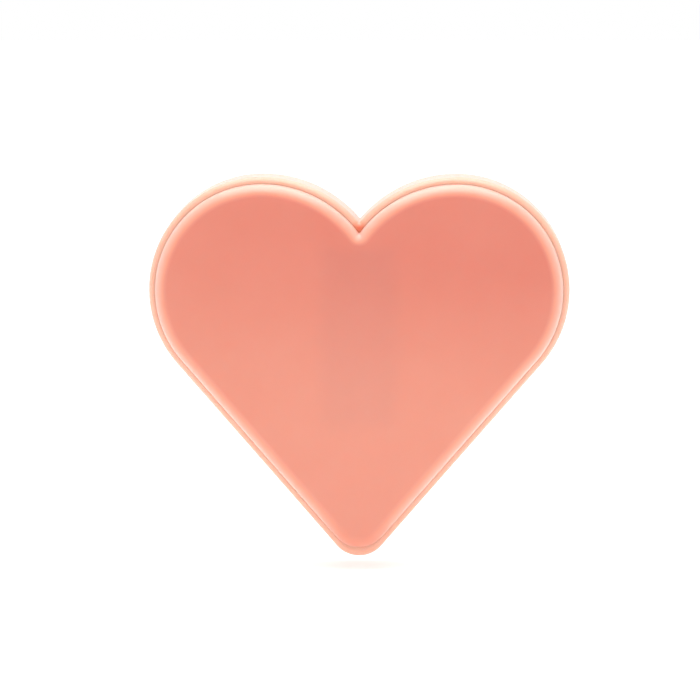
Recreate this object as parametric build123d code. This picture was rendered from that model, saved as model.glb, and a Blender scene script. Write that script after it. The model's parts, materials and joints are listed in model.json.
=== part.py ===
from build123d import *
from math import cos, radians, sin, sqrt
import os

# Heart shaped wall lantern of moulded translucent plastic, lit by LEDs and fed
# by two AA cells.  Every piece is drawn in the heart's own frame and placed in
# the part frame by save():
#   x  right,  y  up the wall,  z  distance from the wall towards the viewer
# with x = y = 0 half way between the centres of the two lobes.
# The part frame has +Z up, +Y towards the wall and its origin where the nail
# sits at the top of the hanging keyhole, on the wall plane.

# ---- outline of the heart (mm) ----
LOBE_X = 44.0            # half the distance between the two lobe centres
LOBE_DROP = 6.5          # the inner arcs are centred this far below the lobes
SIDE_ANGLE = 41.0        # straight sides, measured from the vertical
TIP_R = 13.5             # rounded lower tip
REAR_R = 51.0            # lobe radius of the rear shell
COVER_R = 48.0           # lobe radius of the front cover
NOTCH_R = 0.6            # small round at the bottom of the notch

# ---- depths from the wall ----
RIM_Z = 30.0             # front of the rear shell, where the cover steps in
FACE_Z = 38.0            # front face of the cover
SKIRT_Z = 25.0           # rear edge of the cover's skirt, inside the rear shell
REAR_EDGE_R = 4.0        # round at the back edge
RIM_EDGE_R = 2.6         # round shoulder of the rim
FACE_EDGE_R = 5.5        # round edge of the front face
FLOOR_T = 2.2            # back wall
COVER_T = 2.2            # front cover wall
SKIRT_GAP = 0.15         # clearance around the skirt
RIB_T = 1.6              # ribs that carry the skirt

# ---- hanging keyhole ----
NAIL_Y = 21.0            # where the nail sits
KEY_ENTRY_Y = 13.0       # centre of the hole for the nail's head
KEY_ENTRY_R = 4.25
KEY_SLOT_R = 2.25
KEY_POCKET_X = 6.6       # half width of the pocket behind the keyhole
KEY_POCKET_LOW = 7.0
KEY_POCKET_HIGH = 25.5
KEY_POCKET_Z = 6.4
THIN_WALL = 1.4          # inner walls of the pockets

# ---- case screws ----
CASE_SCREW_X = 13.0
CASE_SCREW_Y = 12.0
REAR_BOSS_R = 4.0
COVER_BOSS_R = 3.6
BOSS_MEET_Z = 20.0       # where the two bosses meet
CASE_HEAD_R = 2.7
CASE_HEAD_T = 2.0
CASE_SHANK_R = 1.45
CASE_SHANK_L = 14.0
CASE_SINK_Z = 13.5       # depth of the wide hole for head and driver

# ---- battery compartment ----
CELL_R = 7.25            # AA cell
CELL_L = 50.5
CELL_NUB_R = 2.75
CELL_NUB_L = 1.2
CELL_X = 7.5
CELL_Z = 9.65
BAY_X = 15.2             # half width inside
BAY_LOW = -60.2
BAY_HIGH = -4.6
BAY_Z = 17.2             # depth of the inner end
BAY_WALL = 1.5
BAY_END_WALL = 1.2

# ---- battery door ----
DOOR_X = 17.0            # half width
DOOR_LOW = -62.2
DOOR_OUT_Z = 0.2
DOOR_IN_Z = 1.8
TAB_X = 6.0              # tongue that takes the screw
TAB_LOW = -69.0
TAB_IN_Z = 3.4
HINGE_Y = -1.9
HINGE_Z = 1.5
BARREL_R = 1.2
PIN_R = 0.8
PIN_L = 1.4
DOOR_GAP = 0.3           # gap around the door
PAD_RIM = 1.6            # thicker floor around the door's recess
PAD_Z = 3.6

# ---- door screw and its brass insert ----
DOOR_SCREW_Y = -64.8
DOOR_HEAD_R = 2.3
DOOR_HEAD_T = 1.4
DOOR_SHANK_R = 1.25
DOOR_SINK_Z = 1.9
INSERT_R = 2.1
INSERT_BORE_R = 1.33
INSERT_LOW_Z = 3.7
INSERT_HIGH_Z = 7.7
INSERT_BOSS_R = 3.6

# ---- switch ----
SWITCH_Y = 3.3
SWITCH_TRAVEL = 2.0      # each way from the middle position
SWITCH_SINK_X = 7.5      # half width of the recess around the knob
SWITCH_SINK_LOW = 0.8
SWITCH_SINK_HIGH = 5.8
SWITCH_SINK_Z = 2.8
KNOB_CAP_X = 3.0
KNOB_CAP_Y = 1.8
KNOB_STEM_X = 1.3
KNOB_STEM_Y = 0.9

# ---- circuit boards ----
BOARD_Z = 9.0            # rear face of every board
BOARD_T = 1.2
CONTROL_X = 15.0
CONTROL_LOW = -3.0
CONTROL_HIGH = 7.6
CONTROL_SCREW_X = 12.2
CONTROL_SCREW_Y = 2.3
LED_BOARD_W = 10.0
SIDE_BOARD_X = 46.0
SIDE_BOARD_LOW = -35.0
SIDE_BOARD_HIGH = 13.5
SIDE_SCREWS_Y = (10.5, -28.0)
SIDE_LEDS_Y = (4.0, -8.0, -22.0)
LOW_BOARD_LOW = -105.0
LOW_BOARD_HIGH = -71.0
LOW_SCREWS_Y = (-74.0, -102.0)
LOW_LEDS_Y = (-80.0, -95.0)
POST_R = 2.2
BOARD_HEAD_R = 1.9
BOARD_HEAD_T = 1.3
BOARD_SHANK_R = 0.8
BOARD_SHANK_L = 5.6

# ---- leads: flat twin cores lying on the boards ----
LEAD_W = 2.2
LEAD_T = 1.1
LEAD_BEND_R = 6.0

BOARD_TOP = BOARD_Z + BOARD_T
PLACE = Pos(0, 0, -NAIL_Y) * Rot(90, 0, 0)


def save(pieces, node):
    """Write one node, placed in the part frame: one shape, or a list of like pieces."""
    if not isinstance(pieces, list):
        pieces = [pieces]
    solids = []
    for piece in pieces:
        solids.extend((PLACE * piece).solids())
    whole = solids[0] if len(solids) == 1 else Compound(solids)
    export_step(whole, "parts/" + node + ".step")


def slab(x_low, x_high, y_low, y_high, z_low, z_high):
    """Rectangular block between three pairs of limits."""
    centre = ((x_low + x_high) / 2, (y_low + y_high) / 2, (z_low + z_high) / 2)
    return Pos(*centre) * Box(x_high - x_low, y_high - y_low, z_high - z_low)


def rod(x, y, z_low, z_high, radius):
    """Round bar or hole along z."""
    return Pos(x, y, (z_low + z_high) / 2) * Cylinder(radius, z_high - z_low)


def heart_face(lobe_r, inset=0.0, notch_round=NOTCH_R):
    """Heart outline for a lobe radius, moved inwards by inset."""
    outer_r = lobe_r - inset
    inner_r = lobe_r + LOBE_DROP - inset
    tip_r = TIP_R - inset
    nx = cos(radians(SIDE_ANGLE))
    ny = -sin(radians(SIDE_ANGLE))
    notch_y = sqrt(inner_r ** 2 - LOBE_X ** 2) - LOBE_DROP
    tip_y = (outer_r - tip_r + LOBE_X * nx) / ny
    # point half way along the inner arc, from the notch to the lobe's top
    half_x = LOBE_X - inner_r * sin(radians(30))
    half_y = inner_r * cos(radians(30)) - LOBE_DROP
    side_x = LOBE_X + outer_r * nx
    side_y = outer_r * ny
    outer_x = LOBE_X + outer_r * cos(radians(25))
    outer_y = outer_r * sin(radians(25))
    low_x = tip_r * nx
    low_y = tip_y + tip_r * ny
    with BuildSketch() as sketch:
        with BuildLine():
            ThreePointArc((0, notch_y), (half_x, half_y), (LOBE_X, outer_r))
            ThreePointArc((LOBE_X, outer_r), (outer_x, outer_y), (side_x, side_y))
            Line((side_x, side_y), (low_x, low_y))
            ThreePointArc((low_x, low_y), (0, tip_y - tip_r), (-low_x, low_y))
            Line((-low_x, low_y), (-side_x, side_y))
            ThreePointArc((-side_x, side_y), (-outer_x, outer_y), (-LOBE_X, outer_r))
            ThreePointArc((-LOBE_X, outer_r), (-half_x, half_y), (0, notch_y))
        make_face()
        notch = [v for v in sketch.vertices() if abs(v.X) < 0.01 and v.Y > 0]
        fillet(notch, notch_round)
    return sketch.sketch


def heart_block(lobe_r, z_low, z_high, inset=0.0, notch_round=NOTCH_R):
    """Heart shaped block."""
    face = heart_face(lobe_r, inset, notch_round)
    return extrude(Pos(0, 0, z_low) * face, z_high - z_low)


def edges_at(shape, z):
    """The edges that lie wholly at one depth."""
    return [e for e in shape.edges() if abs(e.center().Z - z) < 0.01 and e.length > 0.2]


def cross_recess(x, y, z_open, depth, arm, width):
    """Cross shaped driver recess, open towards the wall."""
    one = slab(x - arm, x + arm, y - width / 2, y + width / 2, z_open - 0.1, z_open + depth)
    two = slab(x - width / 2, x + width / 2, y - arm, y + arm, z_open - 0.1, z_open + depth)
    return one + two


def screw_posts():
    """Where the board screws go."""
    places = [(-CONTROL_SCREW_X, CONTROL_SCREW_Y), (CONTROL_SCREW_X, CONTROL_SCREW_Y)]
    for side in (-1, 1):
        for y in SIDE_SCREWS_Y:
            places.append((side * SIDE_BOARD_X, y))
    for y in LOW_SCREWS_Y:
        places.append((0.0, y))
    return places


# ---- the two halves of the case ----

def skirt_ribs():
    """Ribs on the side wall that the skirt's edge rests on."""
    ribs = []
    wall_r = COVER_R + SKIRT_GAP
    for side in (-1, 1):
        for angle in (-20, 15, 50, 85):
            reach = wall_r - 1.2
            x = side * (LOBE_X + reach * cos(radians(angle)))
            y = reach * sin(radians(angle))
            turn = angle if side > 0 else 180 - angle
            rib = Pos(x, y, SKIRT_Z / 2) * Rot(0, 0, turn) * Box(3.4, RIB_T, SKIRT_Z - 0.4)
            ribs.append(rib)
        for step in (22.0, 60.0):
            nx = cos(radians(SIDE_ANGLE))
            ny = -sin(radians(SIDE_ANGLE))
            x = side * (LOBE_X + (wall_r - 1.2) * nx + step * ny)
            y = (wall_r - 1.2) * ny - step * nx
            turn = -SIDE_ANGLE if side > 0 else 180 + SIDE_ANGLE
            rib = Pos(x, y, SKIRT_Z / 2) * Rot(0, 0, turn) * Box(3.4, RIB_T, SKIRT_Z - 0.4)
            ribs.append(rib)
    return ribs


def lead_clip(x, y, turn):
    """Post with two prongs that hold a flat lead."""
    base = slab(-1.0, 1.0, -2.6, 2.6, FLOOR_T - 0.5, BOARD_TOP)
    prong_low = slab(-1.0, 1.0, -2.6, -LEAD_W / 2 - 0.1, BOARD_TOP, BOARD_TOP + LEAD_T + 0.6)
    prong_high = slab(-1.0, 1.0, LEAD_W / 2 + 0.1, 2.6, BOARD_TOP, BOARD_TOP + LEAD_T + 0.6)
    return Pos(x, y, 0) * Rot(0, 0, turn) * (base + prong_low + prong_high)


def make_rear_shell():
    outer = heart_block(REAR_R, 0, RIM_Z)
    outer = fillet(edges_at(outer, 0), REAR_EDGE_R)
    outer = fillet(edges_at(outer, RIM_Z), RIM_EDGE_R)
    cavity = heart_block(COVER_R, FLOOR_T, RIM_Z + 1, -SKIRT_GAP, 0.45)
    shell = outer - cavity

    # solid blocks that stand on the floor
    pad_x = DOOR_X + DOOR_GAP + PAD_RIM
    pad_low = DOOR_LOW - DOOR_GAP - PAD_RIM
    tab_x = TAB_X + DOOR_GAP + PAD_RIM
    tab_low = TAB_LOW - DOOR_GAP - PAD_RIM
    top_wall = SWITCH_SINK_LOW
    solids = [
        slab(-pad_x, pad_x, pad_low, top_wall, 0.5, PAD_Z),
        slab(-pad_x, pad_x, BAY_HIGH, top_wall, 0.5, PAD_Z + 0.8),
        slab(-tab_x, tab_x, tab_low, pad_low + 1, 0.5, PAD_Z + 1.6),
        slab(-BAY_X - BAY_WALL, BAY_X + BAY_WALL, BAY_LOW - BAY_WALL + 0.1,
             BAY_HIGH + BAY_END_WALL, 0.5, BAY_Z + BAY_WALL),
        rod(0, DOOR_SCREW_Y, 0.5, INSERT_HIGH_Z + 1.3, INSERT_BOSS_R),
        slab(-SWITCH_SINK_X - THIN_WALL, SWITCH_SINK_X + THIN_WALL, SWITCH_SINK_LOW - 1.2,
             SWITCH_SINK_HIGH + 1.2, 0.5, SWITCH_SINK_Z + THIN_WALL),
        slab(-KEY_POCKET_X - THIN_WALL, KEY_POCKET_X + THIN_WALL, KEY_POCKET_LOW - THIN_WALL,
             KEY_POCKET_HIGH + THIN_WALL, 0.5, KEY_POCKET_Z + THIN_WALL),
    ]
    for side in (-1, 1):
        solids.append(rod(side * CASE_SCREW_X, CASE_SCREW_Y, 0.5, BOSS_MEET_Z, REAR_BOSS_R))
        solids.append(lead_clip(side * 28.0, -8.5, 90))
    for x, y in screw_posts():
        solids.append(rod(x, y, 0.5, BOARD_Z, POST_R))
    solids.append(lead_clip(-30.5, -67.0, -53.6))
    # hook at the tip that holds the cover's tongue
    solids.append(slab(-5.5, 5.5, -111.4, -109.8, 0.5, 16.8))
    solids.append(slab(-5.5, 5.5, -113.9, -111.3, 15.0, 16.8))
    for piece in solids + skirt_ribs():
        shell = shell + piece

    # hollows
    holes = [
        # battery compartment and the recess of its door
        slab(-BAY_X, BAY_X, BAY_LOW, BAY_HIGH, -1, BAY_Z),
        slab(-DOOR_X - DOOR_GAP, DOOR_X + DOOR_GAP, DOOR_LOW - DOOR_GAP, HINGE_Y,
             -1, DOOR_IN_Z + 0.2),
        slab(-DOOR_X - DOOR_GAP, DOOR_X + DOOR_GAP, HINGE_Y - 0.1, HINGE_Y + BARREL_R + DOOR_GAP,
             -1, HINGE_Z),
        slab(-TAB_X - DOOR_GAP, TAB_X + DOOR_GAP, TAB_LOW - DOOR_GAP, DOOR_LOW + 0.35,
             -1, TAB_IN_Z + 0.3),
        Pos(0, HINGE_Y, HINGE_Z) * Rot(0, 90, 0)
        * Cylinder(BARREL_R + DOOR_GAP, 2 * (DOOR_X + DOOR_GAP)),
        Pos(0, HINGE_Y, HINGE_Z) * Rot(0, 90, 0)
        * Cylinder(PIN_R + 0.05, 2 * (DOOR_X + PIN_L + 0.2)),
        rod(0, DOOR_SCREW_Y, TAB_IN_Z, INSERT_HIGH_Z, INSERT_R),
        # recess and slot of the switch
        slab(-SWITCH_SINK_X, SWITCH_SINK_X, SWITCH_SINK_LOW, SWITCH_SINK_HIGH,
             -1, SWITCH_SINK_Z),
        slab(-3.7, 3.7, SWITCH_Y - 1.3, SWITCH_Y + 1.3, 0, SWITCH_SINK_Z + THIN_WALL + 1),
        # keyhole with the pocket for the nail's head
        slab(-KEY_POCKET_X, KEY_POCKET_X, KEY_POCKET_LOW, KEY_POCKET_HIGH,
             FLOOR_T, KEY_POCKET_Z),
        rod(0, KEY_ENTRY_Y, -1, FLOOR_T + 1, KEY_ENTRY_R),
        slab(-KEY_SLOT_R, KEY_SLOT_R, KEY_ENTRY_Y, NAIL_Y, -1, FLOOR_T + 1),
        rod(0, NAIL_Y, -1, FLOOR_T + 1, KEY_SLOT_R),
    ]
    for side in (-1, 1):
        x = side * CASE_SCREW_X
        holes.append(rod(x, CASE_SCREW_Y, -1, CASE_SINK_Z, CASE_HEAD_R + 0.3))
        holes.append(rod(x, CASE_SCREW_Y, 0, BOSS_MEET_Z + 1, CASE_SHANK_R + 0.15))
        # slots in the bay's end wall for the contact tags
        holes.append(slab(side * CELL_X - 1.7, side * CELL_X + 1.7, BAY_HIGH - 0.5,
                          BAY_HIGH + BAY_END_WALL + 0.5, BOARD_TOP - 0.1, BOARD_TOP + 0.6))
    for x, y in screw_posts():
        holes.append(rod(x, y, BOARD_TOP - BOARD_SHANK_L - 0.4, BOARD_Z + 1, BOARD_SHANK_R + 0.05))
    for hole in holes:
        shell = shell - hole
    return shell


def make_front_cover():
    outer = heart_block(COVER_R, SKIRT_Z, FACE_Z, 0, NOTCH_R)
    outer = fillet(edges_at(outer, FACE_Z), FACE_EDGE_R)
    inner = heart_block(COVER_R, SKIRT_Z - 1, FACE_Z - COVER_T, COVER_T, NOTCH_R + COVER_T)
    inner = fillet(edges_at(inner, FACE_Z - COVER_T), FACE_EDGE_R - COVER_T)
    cover = outer - inner
    for side in (-1, 1):
        cover += rod(side * CASE_SCREW_X, CASE_SCREW_Y, BOSS_MEET_Z, FACE_Z - 1, COVER_BOSS_R)
    # tongue that hooks under the catch at the tip
    cover += slab(-4, 4, -116.2, -114.6, 12.6, SKIRT_Z + 3)
    cover += slab(-4, 4, -114.7, -112.6, 12.6, 14.6)
    for side in (-1, 1):
        cover -= rod(side * CASE_SCREW_X, CASE_SCREW_Y, BOSS_MEET_Z - 1, 31.0, CASE_SHANK_R + 0.05)
    return cover


def make_case_screws():
    """Two pan head screws that draw the halves together from behind."""
    screws = []
    for side in (-1, 1):
        x = side * CASE_SCREW_X
        head = rod(x, CASE_SCREW_Y, CASE_SINK_Z - CASE_HEAD_T, CASE_SINK_Z, CASE_HEAD_R)
        head = fillet(edges_at(head, CASE_SINK_Z - CASE_HEAD_T), 0.7)
        shank = rod(x, CASE_SCREW_Y, CASE_SINK_Z - 0.1, CASE_SINK_Z + CASE_SHANK_L, CASE_SHANK_R)
        shank = chamfer(edges_at(shank, CASE_SINK_Z + CASE_SHANK_L), 0.7)
        recess = cross_recess(x, CASE_SCREW_Y, CASE_SINK_Z - CASE_HEAD_T, 1.2, 1.5, 0.7)
        screws.append(head + shank - recess)
    return screws


# ---- battery door ----

def make_battery_door():
    door = slab(-DOOR_X, DOOR_X, DOOR_LOW, HINGE_Y, DOOR_OUT_Z, DOOR_IN_Z)
    corners = [e for e in door.edges().filter_by(Axis.Z) if e.center().Y < DOOR_LOW + 1]
    door = fillet(corners, 1.5)
    tab = slab(-TAB_X, TAB_X, TAB_LOW, DOOR_LOW + 0.05, DOOR_OUT_Z, TAB_IN_Z)
    ends = [e for e in tab.edges().filter_by(Axis.Z) if e.center().Y < TAB_LOW + 1]
    tab = fillet(ends, 3.0)
    bridge = slab(-TAB_X, TAB_X, DOOR_LOW - 0.2, DOOR_LOW + 1.5, DOOR_OUT_Z, DOOR_IN_Z)
    barrel = Pos(0, HINGE_Y, HINGE_Z) * Rot(0, 90, 0) * Cylinder(BARREL_R, 2 * DOOR_X)
    pins = Pos(0, HINGE_Y, HINGE_Z) * Rot(0, 90, 0) * Cylinder(PIN_R, 2 * (DOOR_X + PIN_L))
    door = door + tab + bridge + barrel + pins
    # grip ribs pressed into the outer face
    for row in range(5):
        y = -50.0 + 2.4 * row
        door -= slab(-7, 7, y - 0.5, y + 0.5, DOOR_OUT_Z - 0.1, DOOR_OUT_Z + 0.4)
    door -= rod(0, DOOR_SCREW_Y, -1, DOOR_SINK_Z, DOOR_HEAD_R + 0.3)
    door -= rod(0, DOOR_SCREW_Y, 0, TAB_IN_Z + 1, DOOR_SHANK_R + 0.08)
    return door


def make_door_screw():
    top = DOOR_SINK_Z - 0.05
    head = rod(0, DOOR_SCREW_Y, top - DOOR_HEAD_T, top, DOOR_HEAD_R)
    head = fillet(edges_at(head, top - DOOR_HEAD_T), 0.5)
    shank = rod(0, DOOR_SCREW_Y, top - 0.1, 5.2, DOOR_SHANK_R)
    point = Pos(0, DOOR_SCREW_Y, 6.0) * Cone(DOOR_SHANK_R, DOOR_SHANK_R - 0.45, 1.6)
    recess = cross_recess(0, DOOR_SCREW_Y, top - DOOR_HEAD_T, 0.9, 1.3, 0.6)
    return head + shank + point - recess


def make_door_insert():
    """Brass threaded insert, pressed into its boss."""
    body = rod(0, DOOR_SCREW_Y, INSERT_LOW_Z, INSERT_HIGH_Z, INSERT_R)
    waist_z = (INSERT_LOW_Z + INSERT_HIGH_Z) / 2
    waist = rod(0, DOOR_SCREW_Y, waist_z - 0.4, waist_z + 0.4, INSERT_R + 1)
    waist -= rod(0, DOOR_SCREW_Y, waist_z - 0.5, waist_z + 0.5, INSERT_R - 0.25)
    return body - waist - rod(0, DOOR_SCREW_Y, INSERT_LOW_Z - 1, INSERT_HIGH_Z + 1, INSERT_BORE_R)


# ---- cells and contacts ----

def cell(x, nub_y, points_up):
    """AA cell with its nub at nub_y."""
    way = 1 if points_up else -1
    shoulder = nub_y - way * CELL_NUB_L
    far = nub_y - way * CELL_L
    can = Pos(x, (shoulder + far) / 2, CELL_Z) * Rot(90, 0, 0) * Cylinder(CELL_R, abs(shoulder - far))
    can = fillet(can.edges(), 0.5)
    nub = Pos(x, nub_y - way * CELL_NUB_L, CELL_Z) * Rot(90, 0, 0)
    nub = nub * Cylinder(CELL_NUB_R, 2 * CELL_NUB_L)
    return can + nub


def contact_plate(x_low, x_high, y_wall, way, dimple_x):
    """Sprung steel plate against an end wall, with a raised dimple for a nub."""
    face = y_wall + way * 0.4
    low = min(y_wall, face)
    high = max(y_wall, face)
    plate = slab(x_low, x_high, low, high, CELL_Z - 5, CELL_Z + 5)
    if dimple_x is not None:
        bump = Pos(dimple_x, face, CELL_Z) * Rot(90, 0, 0) * Cylinder(1.6, 1.2)
        inside = slab(x_low, x_high, face, face + way * 0.6, CELL_Z - 5, CELL_Z + 5) if way > 0 \
            else slab(x_low, x_high, face - 0.6, face, CELL_Z - 5, CELL_Z + 5)
        plate = plate + (bump & inside)
    return plate


def contact_tag(x):
    """Solder tag that runs through the end wall onto the control board."""
    return slab(x - 1.5, x + 1.5, BAY_HIGH - 0.4, -0.6, BOARD_TOP, BOARD_TOP + 0.4)


def make_positive_contact():
    return contact_plate(-12.5, -2.5, BAY_HIGH, -1, -CELL_X) + contact_tag(-CELL_X)


def make_negative_contact():
    return contact_plate(2.5, 12.5, BAY_HIGH, -1, None) + contact_tag(CELL_X)


def make_bridge_contact():
    return contact_plate(-13.0, 13.0, BAY_LOW, 1, CELL_X)


def contact_spring(x, y_low, y_high):
    """Compressed coil that presses on the flat end of a cell."""
    wire = 0.35
    height = y_high - y_low - 2 * wire
    path = Helix(pitch=height / 3, height=height, radius=3.2)
    start = Plane(origin=path @ 0, z_dir=path % 0)
    coil = sweep(start * Circle(wire), path=path, is_frenet=True)
    return Pos(x, y_low + wire, CELL_Z) * Rot(-90, 0, 0) * coil


def make_contact_springs():
    left = contact_spring(-CELL_X, BAY_LOW + 0.4, BAY_HIGH - 1.0 - CELL_L)
    right = contact_spring(CELL_X, BAY_LOW + 1.0 + CELL_L, BAY_HIGH - 0.4)
    return [left, right]


# ---- boards, switch and lamps ----

def board(x_low, x_high, y_low, y_high, holes):
    plate = slab(x_low, x_high, y_low, y_high, BOARD_Z, BOARD_TOP)
    plate = fillet(plate.edges().filter_by(Axis.Z), 0.8)
    for x, y in holes:
        plate -= rod(x, y, BOARD_Z - 1, BOARD_TOP + 1, BOARD_SHANK_R + 0.25)
    return plate


def make_control_board():
    holes = [(-CONTROL_SCREW_X, CONTROL_SCREW_Y), (CONTROL_SCREW_X, CONTROL_SCREW_Y)]
    return board(-CONTROL_X, CONTROL_X, CONTROL_LOW, CONTROL_HIGH, holes)


def make_side_board(side):
    x = side * SIDE_BOARD_X
    holes = [(x, y) for y in SIDE_SCREWS_Y]
    half = LED_BOARD_W / 2
    return board(x - half, x + half, SIDE_BOARD_LOW, SIDE_BOARD_HIGH, holes)


def make_lower_board():
    holes = [(0, y) for y in LOW_SCREWS_Y]
    half = LED_BOARD_W / 2
    return board(-half, half, LOW_BOARD_LOW, LOW_BOARD_HIGH, holes)


def make_board_screws():
    screws = []
    for x, y in screw_posts():
        head = rod(x, y, BOARD_TOP, BOARD_TOP + BOARD_HEAD_T, BOARD_HEAD_R)
        head = fillet(edges_at(head, BOARD_TOP + BOARD_HEAD_T), 0.5)
        shank = rod(x, y, BOARD_TOP - BOARD_SHANK_L, BOARD_TOP + 0.1, BOARD_SHANK_R)
        screws.append(head + shank)
    return screws


def make_switch_case():
    case = slab(-4.5, 4.5, SWITCH_Y - 2.2, SWITCH_Y + 2.2, SWITCH_SINK_Z + THIN_WALL, BOARD_Z)
    low = SWITCH_SINK_Z + THIN_WALL
    return case - slab(-3.5, 3.5, SWITCH_Y - 1.2, SWITCH_Y + 1.2, low - 1, low + 2.4)


def make_switch_knob():
    cap = slab(-KNOB_CAP_X, KNOB_CAP_X, SWITCH_Y - KNOB_CAP_Y, SWITCH_Y + KNOB_CAP_Y, 0.6, 2.5)
    cap = fillet(cap.edges().filter_by(Axis.Z), 0.6)
    for step in (-1.6, 0.0, 1.6):
        cap -= slab(step - 0.35, step + 0.35, SWITCH_Y - 3, SWITCH_Y + 3, 0.5, 1.0)
    stem = slab(-KNOB_STEM_X, KNOB_STEM_X, SWITCH_Y - KNOB_STEM_Y, SWITCH_Y + KNOB_STEM_Y, 2.4, 6.2)
    return cap + stem


def make_timer_chip():
    body = slab(-2.5, 2.5, -0.6, 3.4, BOARD_TOP + 0.2, BOARD_TOP + 1.6)
    for step in (-1.9, -0.63, 0.63, 1.9):
        for low, high in ((-1.4, -0.5), (3.3, 4.2)):
            body += slab(step - 0.2, step + 0.2, low, high, BOARD_TOP, BOARD_TOP + 0.5)
    return body


def make_control_resistors():
    left = slab(-7.0, -3.8, 4.8, 6.4, BOARD_TOP, BOARD_TOP + 0.6)
    right = slab(3.8, 7.0, 4.8, 6.4, BOARD_TOP, BOARD_TOP + 0.6)
    return [left, right]


def make_led_resistors():
    pieces = []
    for x, y in ((-SIDE_BOARD_X, -2.0), (SIDE_BOARD_X, -2.0), (0.0, -99.0)):
        pieces.append(slab(x - 1.6, x + 1.6, y - 0.8, y + 0.8, BOARD_TOP, BOARD_TOP + 0.6))
    return pieces


def led(x, y):
    """Five millimetre round topped lamp."""
    flange = rod(x, y, BOARD_TOP, BOARD_TOP + 1.0, 2.9)
    body = rod(x, y, BOARD_TOP, BOARD_TOP + 6.0, 2.5)
    dome = Pos(x, y, BOARD_TOP + 6.0) * Sphere(2.5)
    return flange + body + dome


def make_leds(x, rows):
    return [led(x, y) for y in rows]


def flat_lead(points):
    """Flat twin lead lying on the boards, bent in its own plane."""
    z = BOARD_TOP + LEAD_T / 2
    corners = [(x, y, z) for x, y in points]
    path = FilletPolyline(*corners, radius=LEAD_BEND_R)
    section = Plane(origin=path @ 0, z_dir=path % 0, x_dir=(0, 0, 1)) * SlotOverall(LEAD_W, LEAD_T, 90)
    return sweep(section, path=path)


def make_side_lead(side):
    row = CONTROL_LOW + 1.6
    return flat_lead([(side * 11.0, row), (side * 28.0, row), (side * 28.0, -15.0),
                      (side * 43.0, -15.0)])


def make_lower_lead():
    x = -SIDE_BOARD_X
    return flat_lead([(x, -32.0), (x, -46.0), (-15.0, -88.0), (-1.5, -88.0)])


os.makedirs("parts", exist_ok=True)
save(make_rear_shell(), "rear_shell")
save(make_front_cover(), "front_cover")
save(make_case_screws(), "case_screws")
save(make_battery_door(), "battery_door")
save(make_door_screw(), "door_screw")
save(make_door_insert(), "door_insert")
save(cell(-CELL_X, BAY_HIGH - 1.0, True), "cell_left")
save(cell(CELL_X, BAY_LOW + 1.0, False), "cell_right")
save(make_positive_contact(), "positive_contact")
save(make_negative_contact(), "negative_contact")
save(make_bridge_contact(), "bridge_contact")
save(make_contact_springs(), "contact_springs")
save(make_control_board(), "control_board")
save(make_side_board(-1), "led_board_left")
save(make_side_board(1), "led_board_right")
save(make_lower_board(), "led_board_lower")
save(make_board_screws(), "board_screws")
save(make_switch_case(), "switch_case")
save(make_switch_knob(), "switch_knob")
save(make_timer_chip(), "timer_chip")
save(make_control_resistors(), "control_resistors")
save(make_led_resistors(), "led_resistors")
save(make_leds(-SIDE_BOARD_X, SIDE_LEDS_Y), "leds_left")
save(make_leds(SIDE_BOARD_X, SIDE_LEDS_Y), "leds_right")
save(make_leds(0.0, LOW_LEDS_Y), "leds_lower")
save(make_side_lead(-1), "left_led_lead")
save(make_side_lead(1), "right_led_lead")
save(make_lower_lead(), "lower_led_lead")
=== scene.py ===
import json
import math

import bmesh
import bpy
from bpy.props import FloatProperty, FloatVectorProperty, IntProperty, PointerProperty
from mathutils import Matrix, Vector

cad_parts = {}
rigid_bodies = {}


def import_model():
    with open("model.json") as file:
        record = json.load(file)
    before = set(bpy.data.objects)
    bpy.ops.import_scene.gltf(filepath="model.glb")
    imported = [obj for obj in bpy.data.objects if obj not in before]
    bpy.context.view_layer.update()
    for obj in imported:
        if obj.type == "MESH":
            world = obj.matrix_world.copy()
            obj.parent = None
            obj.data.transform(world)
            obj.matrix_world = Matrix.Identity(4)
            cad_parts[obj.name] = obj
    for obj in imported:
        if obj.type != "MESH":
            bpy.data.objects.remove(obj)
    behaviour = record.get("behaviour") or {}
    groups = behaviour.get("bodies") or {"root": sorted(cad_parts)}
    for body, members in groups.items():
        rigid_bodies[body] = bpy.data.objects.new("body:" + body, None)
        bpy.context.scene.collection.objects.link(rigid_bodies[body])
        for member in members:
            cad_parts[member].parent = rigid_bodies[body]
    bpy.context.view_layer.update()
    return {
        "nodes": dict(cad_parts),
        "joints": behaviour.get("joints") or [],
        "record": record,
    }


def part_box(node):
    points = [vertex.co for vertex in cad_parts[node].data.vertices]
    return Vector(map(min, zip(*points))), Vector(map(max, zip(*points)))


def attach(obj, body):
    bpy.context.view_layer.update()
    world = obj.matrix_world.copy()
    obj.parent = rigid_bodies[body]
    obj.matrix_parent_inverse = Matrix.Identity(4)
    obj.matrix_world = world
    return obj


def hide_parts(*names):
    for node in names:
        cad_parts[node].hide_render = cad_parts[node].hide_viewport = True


bl_info = {
    "name": "Heart Wall Lantern",
    "version": (1, 0, 0),
    "blender": (4, 5, 0),
    "location": "View3D > Sidebar > Lantern",
    "description": "Builds a moulded heart shaped wall lantern around its frame",
    "category": "Add Mesh",
}

for spare in list(bpy.data.objects):
    bpy.data.objects.remove(spare)

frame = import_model()

SHELL_LOW, SHELL_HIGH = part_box("rear_shell")
COVER_LOW, COVER_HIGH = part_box("front_cover")
DOOR_LOW, DOOR_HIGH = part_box("battery_door")
KNOB_LOW, KNOB_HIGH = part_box("switch_knob")
MOUNTS = {mount["name"]: mount for mount in frame["record"]["mounts"]}
HINGE = {joint["name"]: joint for joint in frame["joints"]}["door_hinge"]
NAIL = Vector(MOUNTS["hang_keyhole"]["pos_m"])
HINGE_Y, HINGE_Z = HINGE["pos_m"][1:]
HALF_SPACING = 0.044
LENGTH = {"unit": "LENGTH", "subtype": "DISTANCE"}

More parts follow.
